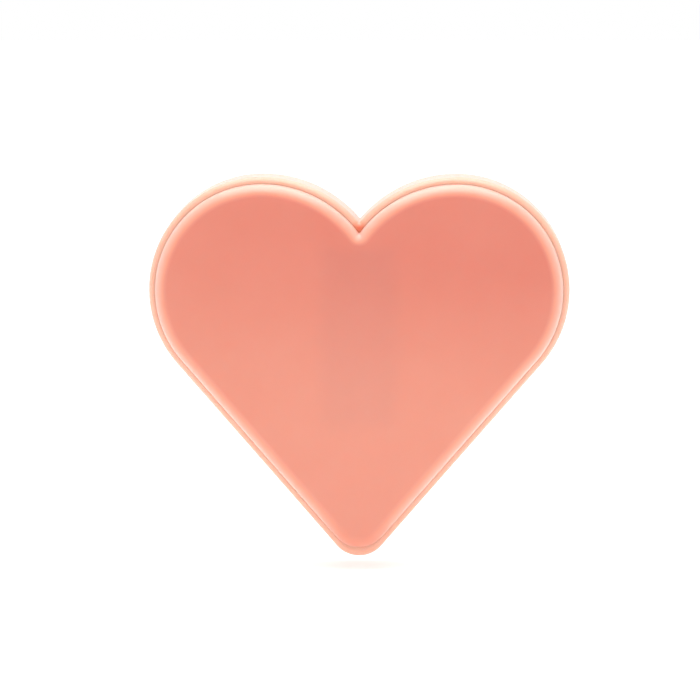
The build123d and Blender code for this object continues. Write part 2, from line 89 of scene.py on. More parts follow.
# ---- places and sizes that pieces share; depths are counted from the back face ----
CUT_PAST = 0.001              # how far a cutting tool stands out of the back
WALL_ROOT = -0.001            # inner walls and bosses start inside the back wall
SCREW_X = 0.013               # case screws, to each side of the keyhole
SCREW_Z = NAIL.z - 0.009
DOOR_SCREW_Z = -0.0858
DOOR_HALF = DOOR_HIGH.x - 0.0014          # the door without its hinge pins
RECESS_HALF = DOOR_HALF + 0.0003          # with the gap around the door
PAD_HALF = RECESS_HALF + 0.0016           # with the thicker rim around the recess
BARREL_R = 0.0012
PIN_R = 0.0008
TAB_HALF = 0.0060
BAY_HALF = 0.0152
BAY_DEPTH = 0.0172
BAY_WALL = 0.0015
KEY_R = 0.00225               # narrow end of the keyhole
BOSS_R = 0.0036               # front cover's screw bosses and the door insert's boss
SCREW_MEET = -0.020           # where the two halves' screw bosses meet
SKIRT_DEPTH = 0.013           # front cover, from its face to the end of its skirt

# Inner walls of the rear shell: half width, depth, lower and upper height.
INNER_WALLS = (
    (BAY_HALF + BAY_WALL, BAY_DEPTH + BAY_WALL, -0.0826, -0.0244),    # battery bay
    (PAD_HALF, 0.0036, -0.0854, -0.0202),                             # around the door
    (PAD_HALF, 0.0044, -0.0256, -0.0202),                             # around the hinge
    (TAB_HALF + 0.0019, 0.0052, -0.0919, -0.0844),                    # around the door's tab
    (0.0089, 0.0042, -0.0214, -0.0140),                               # around the switch
    (0.0080, 0.0078, -0.0154, 0.0059),                                # around the nail's pocket
)
# Openings of the rear shell: half width, depth, lower and upper height, outer plane.
OPENINGS = (
    (BAY_HALF, BAY_DEPTH, -0.0812, -0.0256, CUT_PAST),                # battery bay
    (RECESS_HALF, 0.0020, -0.0835, HINGE_Z, CUT_PAST),                # door
    (RECESS_HALF, -HINGE_Y, -0.0230, HINGE_Z + 0.0015, CUT_PAST),     # hinge barrel
    (TAB_HALF + 0.0003, 0.0037, -0.0903, -0.08285, CUT_PAST),         # door's tab
    (0.0075, 0.0028, -0.0202, -0.0152, CUT_PAST),                     # switch
    (0.0037, 0.0060, -0.0190, -0.0164, CUT_PAST),                     # switch slot
    (0.0066, 0.0064, -0.0140, 0.0045, -0.0022),                       # pocket for a nail's head
    (KEY_R, 0.0032, -0.0080, 0.0, CUT_PAST),                          # keyhole's slot
)
# Round holes of the rear shell: x, z, depth, outer plane, radius.
ROUND_HOLES = (
    (0.0, -0.0080, 0.0032, CUT_PAST, 0.00425),                        # keyhole's entry
    (NAIL.x, NAIL.z, 0.0032, CUT_PAST, KEY_R),                        # where the nail rests
    (SCREW_X, SCREW_Z, 0.0135, CUT_PAST, 0.0030),                     # case screw heads
    (-SCREW_X, SCREW_Z, 0.0135, CUT_PAST, 0.0030),
    (SCREW_X, SCREW_Z, 0.021, 0.0, 0.0016),                           # case screw shanks
    (-SCREW_X, SCREW_Z, 0.021, 0.0, 0.0016),
    (0.0, DOOR_SCREW_Z, 0.0077, CUT_PAST, 0.0021),                    # brass insert
)

# ---- tints of the coral plastic, mostly painted light and shade ----
TOUCH = 0.00001               # reach when edges on a plane are picked
PAINTED_FADE_LOW_Z = -0.085           # painted light and shade: paler coral below, deeper coral above the next height
PAINTED_FADE_HIGH_Z = 0.013
PAINTED_LEAN = 3.0               # painted shade leaning deeper to the right, per metre
CLOUD = (1.0, 0.72, 0.62)
BAY_SHADOW_TINT = (0.50, 0.70, 1.0)            # painted shadow of the battery bay: darker upright block on the face
BAY_SHADOW_SIDE = (0.0222, 0.0115)             # it fades in between these half widths
BAY_SHADOW_FOOT = (-0.0880, -0.0760)           # and these heights, below
BAY_SHADOW_HEAD = (0.0030, -0.0060)            # and above
BAY_SHADOW_UPPER = (-0.0300, -0.0120)          # full strength comes on between these
CREASE_PAINTED_GLOW = (0.700, 0.240, 0.115)            # painted glow at the first turn of the face's rounded edge
# painted light: pale side wall of the rear shell
SIDE_WALL_PAINTED_LIGHT = (0.790, 0.440, 0.355)
# painted shade, deeper in the notch between the lobes
NOTCH_PAINTED_SHADE = (1.0, 0.50, 0.32)
NOTCH_SHADE_POINT = (0.0, SHELL_LOW.y, 0.0058)
NOTCH_SHADE_REACH = (0.0058, 0.0010)            # the painted notch shade grows between these distances


# ---------------------------------------------------------------- settings

class LanternShape(bpy.types.PropertyGroup):
    """Sizes of the moulded pieces."""
    lobe_half_spacing: FloatProperty(
        name="Lobe half spacing", description="Half the distance between the lobe centres",
        default=HALF_SPACING, **LENGTH)
    rear_lobe_radius: FloatProperty(
        name="Rear lobe radius", description="Radius of the rear shell's lobes",
        default=SHELL_HIGH.x - HALF_SPACING, **LENGTH)
    cover_lobe_radius: FloatProperty(
        name="Cover lobe radius", description="Radius of the front cover's lobes",
        default=COVER_HIGH.x - HALF_SPACING, **LENGTH)
    lobe_drop: FloatProperty(
        name="Inner arc drop", description="How far the inner arcs are centred below the lobes",
        default=0.0065, **LENGTH)
    side_angle: FloatProperty(
        name="Side angle", description="Slope of the straight sides from the vertical",
        default=math.radians(41.0), subtype="ANGLE")
    tip_radius: FloatProperty(
        name="Tip radius", description="Radius of the lower tip", default=0.0135, **LENGTH)
    notch_radius: FloatProperty(
        name="Notch radius", description="Radius at the bottom of the notch",
        default=0.0006, **LENGTH)
    face_round: FloatProperty(
        name="Face edge round", description="Round of the front cover's outer edge",
        default=0.0055, **LENGTH)
    rim_round: FloatProperty(
        name="Rim round", description="Round of the rear shell's shoulder",
        default=0.0026, **LENGTH)
    back_round: FloatProperty(
        name="Back round", description="Round of the rear shell's back edge",
        default=0.004, **LENGTH)
    wall: FloatProperty(
        name="Wall", description="Thickness of the moulded walls", default=0.0022, **LENGTH)
    seam_gap: FloatProperty(
        name="Seam gap", description="Gap between the cover and the rim", default=0.00003,
        **LENGTH)
    arc_steps: IntProperty(
        name="Arc steps", description="Steps around each lobe", default=56, min=8, max=120)


class LanternColours(bpy.types.PropertyGroup):
    """Colours of the finishes."""
    # The face colours are the coral with painted shade: deeper near the lobes, lighter towards the tip.
    face_top_shaded: FloatVectorProperty(
        name="Face, top", description="Colour of the cover near the lobes",
        subtype="COLOR", size=3, default=(0.610, 0.172, 0.115))
    face_tip_lit: FloatVectorProperty(
        name="Face, tip", description="Colour of the cover near the tip",
        subtype="COLOR", size=3, default=(0.665, 0.243, 0.165))
    # Painted highlight: pale tone of the cover's rounded edge.
    edge: FloatVectorProperty(
        name="Edge", description="Colour of the cover's rounded edge",
        subtype="COLOR", size=3, default=(0.800, 0.460, 0.390))
    # Painted light: pale rim of the rear shell.
    rim: FloatVectorProperty(
        name="Rim", description="Colour of the rear shell",
        subtype="COLOR", size=3, default=(0.760, 0.400, 0.290))
    # Painted shadow of the battery bay behind the face.
    shade: FloatProperty(
        name="Inner shadow", description="Strength of the darker upright block tinted into the face",
        default=0.12, min=0.0, max=1.0, subtype="FACTOR")


class LanternStage(bpy.types.PropertyGroup):
    """Camera, floor and lights."""
    azimuth: FloatProperty(
        name="Camera azimuth", description="Turn of the camera about the lantern",
        default=math.radians(1.0), subtype="ANGLE")
    elevation: FloatProperty(
        name="Camera elevation", description="Height angle of the camera",
        default=math.radians(6.5), subtype="ANGLE")
    distance: FloatProperty(
        name="Camera distance", description="From the lantern's middle to the camera",
        default=2.0, **LENGTH)
    aim_side: FloatProperty(
        name="Aim, side", description="How far to the right of the middle the camera aims",
        default=-0.0041, **LENGTH)
    aim_up: FloatProperty(
        name="Aim, up", description="How far above the middle the camera aims",
        default=0.0081, **LENGTH)
    focal: FloatProperty(
        name="Focal length", description="Camera lens in millimetres", default=227.5)
    floor_gap: FloatProperty(
        name="Floor gap", description="Height of the tip above the floor", default=0.0060,
        **LENGTH)
    floor_glow: FloatProperty(
        name="Floor glow", description="Light given off by the floor panel", default=0.24)
    world_light: FloatProperty(
        name="World light", description="Strength of the even white light", default=1.0)
    top_light: FloatProperty(
        name="Top light", description="Power of the soft light above", default=2.1,
        unit="POWER")
    side_light: FloatProperty(
        name="Side lights", description="Power of the soft light on each side", default=0.5,
        unit="POWER")


# ---------------------------------------------------------------- modelling helpers

def deselect():
    """Leave edit mode and clear the selection."""
    if bpy.context.object and bpy.context.object.mode != "OBJECT":
        bpy.ops.object.mode_set(mode="OBJECT")
    bpy.ops.object.select_all(action="DESELECT")


def only(piece):
    """Select one object and make it active."""
    deselect()
    piece.select_set(True)
    bpy.context.view_layer.objects.active = piece


def edit(piece):
    """Enter edit mode on one object."""
    only(piece)
    bpy.ops.object.mode_set(mode="EDIT")


def leave_edit():
    """Go back to object mode."""
    bpy.ops.object.mode_set(mode="OBJECT")


def select_edges(piece, rule):
    """Select, in edit mode, the edges whose two ends both pass the rule."""
    bpy.ops.mesh.select_mode(type="EDGE")
    bpy.ops.mesh.select_all(action="DESELECT")
    mesh = bmesh.from_edit_mesh(piece.data)
    for edge in mesh.edges:
        edge.select = all(rule(corner.co) for corner in edge.verts)
    bmesh.update_edit_mesh(piece.data)


def select_faces(piece, rule):
    """Select, in edit mode, the faces that pass the rule."""
    bpy.ops.mesh.select_mode(type="FACE")
    bpy.ops.mesh.select_all(action="DESELECT")
    mesh = bmesh.from_edit_mesh(piece.data)
    for face in mesh.faces:
        face.select = rule(face)
    bmesh.update_edit_mesh(piece.data)


def block(name, low, high, edge_round=0.0, segments=3):
    """Box between two corners, with rounded edges."""
    deselect()
    low = Vector(low)
    high = Vector(high)
    bpy.ops.mesh.primitive_cube_add(size=1.0, location=(low + high) / 2)
    piece = bpy.context.object
    piece.name = name
    piece.scale = high - low
    bpy.ops.object.transform_apply(location=True, rotation=True, scale=True)
    if edge_round:
        edit(piece)
        bpy.ops.mesh.select_all(action="SELECT")
        bpy.ops.mesh.bevel(offset=edge_round, segments=segments, clamp_overlap=True)
        leave_edit()
    return piece


def post(name, x, z, y_low, y_high, radius, turn="Y", steps=48):
    """Round bar along Y, or along X between two x values given as y_low and y_high."""
    deselect()
    length = y_high - y_low
    middle = (y_low + y_high) / 2
    if turn == "Y":
        place = (x, middle, z)
        rotation = (math.radians(90), 0, 0)
    else:
        place = (middle, x, z)
        rotation = (0, math.radians(90), 0)
    bpy.ops.mesh.primitive_cylinder_add(
        vertices=steps, radius=radius, depth=length, location=place, rotation=rotation)
    piece = bpy.context.object
    piece.name = name
    bpy.ops.object.transform_apply(location=True, rotation=True, scale=True)
    return piece


def combine(target, tool, operation):
    """Join a tool to a target, or cut it away, and drop the tool."""
    only(target)
    bpy.ops.object.modifier_add(type="BOOLEAN")
    modifier = target.modifiers[-1]
    modifier.object = tool
    modifier.operation = operation
    modifier.solver = "EXACT"
    bpy.ops.object.modifier_apply(modifier=modifier.name)
    bpy.data.objects.remove(tool)


def cut(target, tool):
    """Cut a tool out of a target."""
    combine(target, tool, "DIFFERENCE")


def add(target, tool):
    """Fuse a tool to a target."""
    combine(target, tool, "UNION")


def smooth(piece, degrees=32.0):
    """Shade smooth up to an angle, with flat faces kept flat."""
    only(piece)
    bpy.ops.object.shade_smooth_by_angle(angle=math.radians(degrees))
    bpy.ops.object.modifier_add(type="WEIGHTED_NORMAL")
    modifier = piece.modifiers[-1]
    modifier.keep_sharp = True
    modifier.weight = 80
    bpy.ops.object.modifier_apply(modifier=modifier.name)


def astride(name, half, depth, z_low, z_high, outer):
    """Box that straddles the middle plane, from a depth to an outer plane."""
    return block(name, (-half, -depth, z_low), (half, outer, z_high))


def heart_block(name, lobe_radius, grow, y_back, y_front, steps):
    """Heart shaped block: one half of the outline is spun and extruded, then mirrored."""
    shape = bpy.context.scene.lantern_shape
    half = shape.lobe_half_spacing
    lobe_z = SHELL_HIGH.z - shape.rear_lobe_radius
    lobe = lobe_radius + grow
    inner = lobe + shape.lobe_drop
    tip = shape.tip_radius + grow
    notch = max(shape.notch_radius - grow, 0.0003)
    inner_z = lobe_z - shape.lobe_drop
    notch_z = inner_z + math.sqrt((inner + notch) ** 2 - half ** 2)
    notch_turn = math.atan2(half, notch_z - inner_z)
    normal = Vector((math.cos(shape.side_angle), 0, -math.sin(shape.side_angle)))
    tip_z = lobe_z - (lobe - tip + half * normal.x) / -normal.z
    side_start = Vector((half, y_back, lobe_z)) + lobe * normal
    side_end = Vector((0, y_back, tip_z)) + tip * normal

    deselect()
    bpy.ops.mesh.primitive_plane_add(size=0.0001, location=(0, y_back, notch_z - notch))
    piece = bpy.context.object
    piece.name = name
    bpy.ops.object.transform_apply(location=True)
    bpy.ops.object.mode_set(mode="EDIT")
    bpy.ops.mesh.select_mode(type="VERT")
    bpy.ops.mesh.select_all(action="SELECT")
    bpy.ops.mesh.merge(type="CENTER")
    arcs = [
        (0.0, notch_z, notch_turn, 6),
        (half, inner_z, -notch_turn, steps // 2),
        (half, lobe_z, -math.radians(90) - shape.side_angle, steps),
    ]
    for x, z, angle, count in arcs:
        bpy.ops.mesh.spin(steps=count, angle=angle, center=(x, y_back, z), axis=(0, 1, 0))
    bpy.ops.mesh.extrude_region_move(
        TRANSFORM_OT_translate={"value": side_end - side_start})
    bpy.ops.mesh.spin(
        steps=12, angle=shape.side_angle - math.radians(90), center=(0, y_back, tip_z),
        axis=(0, 1, 0))
    bpy.ops.mesh.select_all(action="SELECT")
    bpy.ops.mesh.symmetrize(direction="POSITIVE_X", threshold=0.00001)
    bpy.ops.mesh.select_all(action="SELECT")
    bpy.ops.mesh.remove_doubles(threshold=0.00002)
    bpy.ops.mesh.edge_face_add()
    bpy.ops.mesh.extrude_region_move(
        TRANSFORM_OT_translate={"value": (0, y_front - y_back, 0)})
    bpy.ops.mesh.select_all(action="SELECT")
    bpy.ops.mesh.normals_make_consistent(inside=False)
    leave_edit()
    return piece


# ---------------------------------------------------------------- finishes

def new_finish(name):
    """Empty material with a Principled shader, its node tree and an object position."""
    finish = bpy.data.materials.new(name)
    finish.use_nodes = True
    tree = finish.node_tree
    shader = tree.nodes["Principled BSDF"]
    place = tree.nodes.new("ShaderNodeTexCoord")
    return finish, tree, shader, place.outputs["Object"]


def noise(tree, place, scale, detail=2.0, roughness=0.5):
    """Noise texture at the object position."""
    node = tree.nodes.new("ShaderNodeTexNoise")
    node.inputs["Scale"].default_value = scale
    node.inputs["Detail"].default_value = detail
    node.inputs["Roughness"].default_value = roughness
    tree.links.new(place, node.inputs["Vector"])
    return node.outputs["Fac"]


def spread(tree, value, low, high, to_low, to_high, kind="LINEAR"):
    """Map Range node, clamped."""
    node = tree.nodes.new("ShaderNodeMapRange")
    node.interpolation_type = kind
    node.inputs["From Min"].default_value = low
    node.inputs["From Max"].default_value = high
    node.inputs["To Min"].default_value = to_low
    node.inputs["To Max"].default_value = to_high
    tree.links.new(value, node.inputs["Value"])
    return node.outputs["Result"]


def maths(tree, operation, first, second=None, third=None):
    """Math node fed by numbers or sockets."""
    node = tree.nodes.new("ShaderNodeMath")
    node.operation = operation
    for socket, value in zip(node.inputs, (first, second, third)):
        if value is None:
            continue
        if isinstance(value, (int, float)):
            socket.default_value = value
        else:
            tree.links.new(value, socket)
    return node.outputs["Value"]


def blend(tree, factor, first, second, kind="MIX"):
    """Colour mix of two colours or sockets."""
    node = tree.nodes.new("ShaderNodeMix")
    node.data_type = "RGBA"
    node.blend_type = kind
    if isinstance(factor, (int, float)):
        node.inputs["Factor"].default_value = factor
    else:
        tree.links.new(factor, node.inputs["Factor"])
    for socket, value in ((node.inputs[6], first), (node.inputs[7], second)):
        if isinstance(value, (tuple, list)):
            socket.default_value = (*value, 1.0)
        else:
            tree.links.new(value, socket)
    return node.outputs[2]


def bump(tree, shader, layers):
    """Chain of bump layers: (height socket, strength, distance)."""
    normal = None
    for height, strength, distance in layers:
        node = tree.nodes.new("ShaderNodeBump")
        node.inputs["Strength"].default_value = strength
        node.inputs["Distance"].default_value = distance
        tree.links.new(height, node.inputs["Height"])
        if normal is not None:
            tree.links.new(normal, node.inputs["Normal"])
        normal = node.outputs["Normal"]
    tree.links.new(normal, shader.inputs["Normal"])


def axes(tree, place):
    """The object position's x, y and z sockets."""
    node = tree.nodes.new("ShaderNodeSeparateXYZ")
    tree.links.new(place, node.inputs["Vector"])
    return node.outputs["X"], node.outputs["Y"], node.outputs["Z"]


def coral_tone_painted_light(tree, place, top, low):
    """Painted shade and light: deeper coral above, paler to the tip, with a slight lean; faint clouds
    vary the tone at random.
    """
    x, y, z = axes(tree, place)
    height = spread(tree, z, PAINTED_FADE_LOW_Z, PAINTED_FADE_HIGH_Z, 0.0, 1.0, "SMOOTHSTEP")
    lean = maths(tree, "MULTIPLY_ADD", x, PAINTED_LEAN, 1.0)
    colour = blend(tree, maths(tree, "MULTIPLY", height, lean), tuple(low), tuple(top))
    cloud = spread(tree, noise(tree, place, 26.0, 3.0), 0.3, 0.7, 0.0, 1.0)
    return blend(tree, cloud, colour, blend(tree, 0.03, colour, CLOUD))


def paint_bay_shadow(tree, place, colour, amount):
    """Painted shadow of the battery bay: darker upright block with soft edges, weaker towards its foot.
    """
    x, y, z = axes(tree, place)
    across = spread(tree, maths(tree, "ABSOLUTE", x), *BAY_SHADOW_SIDE, 0.0, 1.0, "SMOOTHSTEP")
    under = spread(tree, z, *BAY_SHADOW_FOOT, 0.0, 1.0, "SMOOTHSTEP")
    over = spread(tree, z, *BAY_SHADOW_HEAD, 0.0, 1.0, "SMOOTHSTEP")
    upper = spread(tree, z, *BAY_SHADOW_UPPER, 0.75, 1.0, "SMOOTHSTEP")
    mask = maths(tree, "MULTIPLY", across, maths(tree, "MULTIPLY", under, over))
    mask = maths(tree, "MULTIPLY", mask, upper)
    shadowed = blend(tree, 1.0, colour, BAY_SHADOW_TINT, "MULTIPLY")
    return blend(tree, maths(tree, "MULTIPLY", mask, amount), colour, shadowed)


def paint_edge_light(tree, place, colour, edge):
    """Painted light on the face's rounded edge: a warmer painted glow at its first turn, then a painted
    highlight, both weaker at the tip.
    """
    x, y, z = axes(tree, place)
    # painted light from above: the edge tints fade out towards the tip
    light_from_above = spread(tree, z, SHELL_LOW.z + 0.0030, -0.1180, 0.0, 0.80, "SMOOTHSTEP")
    crease_glow = spread(tree, y, COVER_LOW.y, COVER_LOW.y + 0.0003, 0.0, 0.8, "SMOOTHSTEP")
    colour = blend(tree, maths(tree, "MULTIPLY", crease_glow, light_from_above), colour, CREASE_PAINTED_GLOW)
    depth = spread(tree, y, COVER_LOW.y, COVER_LOW.y + 0.0035, 0.0, 1.0)
    # painted highlight around the rounded edge, weaker at the tip
    pale = maths(tree, "MULTIPLY", maths(tree, "POWER", depth, 0.5), light_from_above)
    return blend(tree, pale, colour, tuple(edge))


def paint_rim_light_notch_shade(tree, place, colour, rim):
    """Painted light on the pale rim and side wall in front of the back face; painted shade deeper in
    the notch.
    """
    x, y, z = axes(tree, place)
    front = spread(tree, y, -0.0005, -0.0045, 0.0, 1.0, "SMOOTHSTEP")
    side = spread(tree, y, SHELL_LOW.y + 0.0008, SHELL_LOW.y + 0.0045, 0.0, 1.0)
    colour = blend(tree, front, colour, blend(tree, side, tuple(rim), SIDE_WALL_PAINTED_LIGHT))
    # painted shade in the notch
    notch = tree.nodes.new("ShaderNodeVectorMath")
    notch.operation = "DISTANCE"
    notch.inputs[1].default_value = NOTCH_SHADE_POINT
    tree.links.new(place, notch.inputs[0])
    near = spread(tree, notch.outputs["Value"], *NOTCH_SHADE_REACH, 0.0, 1.0, "SMOOTHSTEP")
    return blend(tree, near, colour, blend(tree, 1.0, colour, NOTCH_PAINTED_SHADE, "MULTIPLY"))


def coral_plastic(name, top, low, edge=None, rim=None, bay_shade=0.0):
    """Milky coral moulding with fine grain and painted shade and light; a painted highlight at its
    edge, painted light on its rim or a painted bay shadow where asked.
    """
    finish, tree, shader, place = new_finish(name)
    colour = coral_tone_painted_light(tree, place, top, low)
    if bay_shade:
        colour = paint_bay_shadow(tree, place, colour, bay_shade)
    if edge:
        colour = paint_edge_light(tree, place, colour, edge)
    if rim:
        colour = paint_rim_light_notch_shade(tree, place, colour, rim)
    tree.links.new(colour, shader.inputs["Base Color"])
    grain = noise(tree, place, 2600.0, 2.0)
    speckle = noise(tree, place, 700.0, 3.0, 0.6)
    flow = noise(tree, place, 14.0, 1.0)
    gloss = spread(tree, speckle, 0.25, 0.75, 0.30, 0.40)
    tree.links.new(gloss, shader.inputs["Roughness"])
    bump(tree, shader, [(flow, 0.10, 0.0012), (grain, 0.12, 0.00006)])
    shader.inputs["IOR"].default_value = 1.58
    shader.inputs["Subsurface Weight"].default_value = 0.8
    shader.inputs["Subsurface Radius"].default_value = (1.0, 0.55, 0.40)
    shader.inputs["Subsurface Scale"].default_value = 0.0035
    return finish


def plated_metal(name, colour, scratch=0.06, base_rough=0.28):
    """Plated metal with fine turning marks and dull patches."""
    finish, tree, shader, place = new_finish(name)
    dull = noise(tree, place, 900.0, 4.0, 0.6)
    tone = blend(tree, spread(tree, dull, 0.3, 0.7, 0.0, 0.35), colour, tuple(0.6 * c for c in colour))
    tree.links.new(tone, shader.inputs["Base Color"])
    marks = tree.nodes.new("ShaderNodeTexWave")
    marks.inputs["Scale"].default_value = 900.0
    marks.inputs["Distortion"].default_value = 3.0
    marks.inputs["Detail"].default_value = 2.0
    tree.links.new(place, marks.inputs["Vector"])
    tree.links.new(spread(tree, dull, 0.2, 0.8, base_rough, base_rough + 0.2),
                   shader.inputs["Roughness"])
    bump(tree, shader, [(marks.outputs["Fac"], scratch, 0.00004)])
    shader.inputs["Metallic"].default_value = 1.0
    return finish


def dark_plastic(name, colour, roughness=0.5):
    """Matt dark plastic with spark grain and a little dust."""
    finish, tree, shader, place = new_finish(name)
    dust = spread(tree, noise(tree, place, 300.0, 4.0, 0.7), 0.5, 0.8, 0.0, 0.25)
    tone = blend(tree, dust, colour, tuple(min(1.0, c + 0.06) for c in colour))
    tree.links.new(tone, shader.inputs["Base Color"])
    grain = noise(tree, place, 3200.0, 2.0)
    tree.links.new(spread(tree, grain, 0.3, 0.7, roughness - 0.06, roughness + 0.08),
                   shader.inputs["Roughness"])
    bump(tree, shader, [(grain, 0.3, 0.00004)])
    return finish


def circuit_board(name):
    """Green solder mask over a faint grid of tracks."""
    finish, tree, shader, place = new_finish(name)
    tracks = tree.nodes.new("ShaderNodeTexBrick")
    tracks.inputs["Scale"].default_value = 260.0
    tracks.inputs["Mortar Size"].default_value = 0.03
    tracks.inputs["Color1"].default_value = (0.015, 0.130, 0.050, 1.0)
    tracks.inputs["Color2"].default_value = (0.012, 0.105, 0.042, 1.0)
    tracks.inputs["Mortar"].default_value = (0.045, 0.230, 0.080, 1.0)
    turn = tree.nodes.new("ShaderNodeMapping")
    turn.inputs["Rotation"].default_value = (math.radians(90), 0, 0)
    tree.links.new(place, turn.inputs["Vector"])
    tree.links.new(turn.outputs["Vector"], tracks.inputs["Vector"])
    blotch = spread(tree, noise(tree, place, 120.0, 3.0), 0.35, 0.7, 0.0, 0.3)
    tone = blend(tree, blotch, tracks.outputs["Color"], (0.03, 0.17, 0.07))
    tree.links.new(tone, shader.inputs["Base Color"])
    tree.links.new(spread(tree, noise(tree, place, 800.0), 0.3, 0.7, 0.28, 0.40),
                   shader.inputs["Roughness"])
    bump(tree, shader, [(tracks.outputs["Fac"], 0.25, 0.00003)])
    return finish


def cell_wrap(name, nub_end, flat_end):
    """Foil wrap in two tones, golden towards the nub, with small scuffs."""
    finish, tree, shader, place = new_finish(name)
    z = axes(tree, place)[2]
    split = nub_end + 0.30 * (flat_end - nub_end)
    soft = math.copysign(0.0001, flat_end - nub_end)
    past = spread(tree, z, split - soft, split + soft, 0.0, 1.0)
    tone = blend(tree, past, (0.45, 0.30, 0.10), (0.020, 0.085, 0.050))
    scuff = spread(tree, noise(tree, place, 420.0, 5.0, 0.7), 0.62, 0.72, 0.0, 0.5)
    tone = blend(tree, scuff, tone, (0.35, 0.36, 0.34))
    tree.links.new(tone, shader.inputs["Base Color"])
    tree.links.new(spread(tree, scuff, 0.0, 0.5, 0.30, 0.48), shader.inputs["Roughness"])
    bump(tree, shader, [(noise(tree, place, 260.0, 2.0), 0.12, 0.0001)])
    shader.inputs["Metallic"].default_value = 0.55
    return finish


def clear_resin(name):
    """Lamp body of pale cast resin with faint flow lines."""
    finish, tree, shader, place = new_finish(name)
    flow = noise(tree, place, 350.0, 3.0, 0.6)
    tone = blend(tree, spread(tree, flow, 0.3, 0.7, 0.0, 1.0), (0.86, 0.80, 0.62), (0.93, 0.90, 0.80))
    tree.links.new(tone, shader.inputs["Base Color"])
    tree.links.new(spread(tree, flow, 0.3, 0.7, 0.10, 0.18), shader.inputs["Roughness"])
    bump(tree, shader, [(flow, 0.08, 0.00006)])
    return finish


def lead_sleeve(name):
    """Soft pale sleeve with slight kinks."""
    finish, tree, shader, place = new_finish(name)
    soil = noise(tree, place, 180.0, 4.0, 0.6)
    tone = blend(tree, spread(tree, soil, 0.35, 0.75, 0.0, 1.0), (0.78, 0.77, 0.74), (0.60, 0.58, 0.54))
    tree.links.new(tone, shader.inputs["Base Color"])
    tree.links.new(spread(tree, soil, 0.3, 0.7, 0.42, 0.58), shader.inputs["Roughness"])
    bump(tree, shader, [(noise(tree, place, 1500.0, 2.0), 0.2, 0.00005)])
    return finish


def dress(piece, finish):
    """Give a piece one finish all over."""
    piece.data.materials.clear()
    piece.data.materials.append(finish)


def redress(node, finish):
    """Give a frame node a better finish in its own slots."""
    for slot in frame["nodes"][node].material_slots:
        slot.material = finish


def stand_for(piece, node, body):
    """The piece takes the node's place and moves with its body."""
    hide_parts(node)
    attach(piece, body)


# ---------------------------------------------------------------- operators

class LANTERN_OT_camera(bpy.types.Operator):
    """Place the camera in front of the lantern"""
    bl_idname = "lantern.camera"
    bl_label = "Camera"

    def execute(self, context):
        stage = context.scene.lantern_stage
        middle = Vector((0.0, SHELL_LOW.y, (SHELL_LOW.z + SHELL_HIGH.z) / 2))
        out = Vector((math.sin(stage.azimuth) * math.cos(stage.elevation),
                      -math.cos(stage.azimuth) * math.cos(stage.elevation),
                      math.sin(stage.elevation)))
        aim = middle + Vector((stage.aim_side, 0.0, stage.aim_up))
        deselect()
        place = middle + stage.distance * out
        bpy.ops.object.camera_add(location=place)
        camera = context.object
        camera.name = "front_camera"
        camera.rotation_euler = (aim - place).to_track_quat("-Z", "Y").to_euler()
        camera.data.lens = stage.focal
        camera.data.sensor_width = 36.0
        camera.data.clip_start = 0.01
        context.scene.camera = camera
        return {"FINISHED"}


class LANTERN_OT_front_cover(bpy.types.Operator):
    """Model the raised heart cover with its rounded edge, skirt and screw bosses"""
    bl_idname = "lantern.front_cover"
    bl_label = "Front cover"

    def execute(self, context):
        shape = context.scene.lantern_shape
        colours = context.scene.lantern_colours
        face_y = COVER_LOW.y
        skirt_y = face_y + SKIRT_DEPTH
        cover = heart_block("heart_cover", shape.cover_lobe_radius, 0.0, skirt_y, face_y,
                            shape.arc_steps)
        edit(cover)
        select_edges(cover, lambda co: co.y < face_y + TOUCH)
        bpy.ops.mesh.bevel(offset=shape.face_round, segments=14, clamp_overlap=False)
        select_faces(cover, lambda face: face.normal.y > 0.9 and len(face.verts) > 50)
        bpy.ops.mesh.delete(type="ONLY_FACE")
        leave_edit()
        only(cover)
        bpy.ops.object.modifier_add(type="SOLIDIFY")
        wall = cover.modifiers[-1]
        wall.thickness = shape.wall
        wall.offset = -1.0
        wall.use_even_offset = True
        bpy.ops.object.modifier_apply(modifier=wall.name)
        for x in (-SCREW_X, SCREW_X):
            add(cover, post("boss", x, SCREW_Z, face_y + 0.001, SCREW_MEET, BOSS_R))
            cut(cover, post("pilot", x, SCREW_Z, -0.031, SCREW_MEET + 0.001, 0.0015))
        tongue_half = 0.004
        tongue_end = -0.0126
        add(cover, astride("tongue", tongue_half, 0.028, -0.1372, -0.1356, tongue_end))
        add(cover, astride("barb", tongue_half, 0.0146, -0.1357, -0.1336, tongue_end))
        smooth(cover)
        dress(cover, coral_plastic("coral_face", colours.face_top_shaded, colours.face_tip_lit,
                                   edge=colours.edge, bay_shade=colours.shade))
        stand_for(cover, "front_cover", "housing")
        return {"FINISHED"}


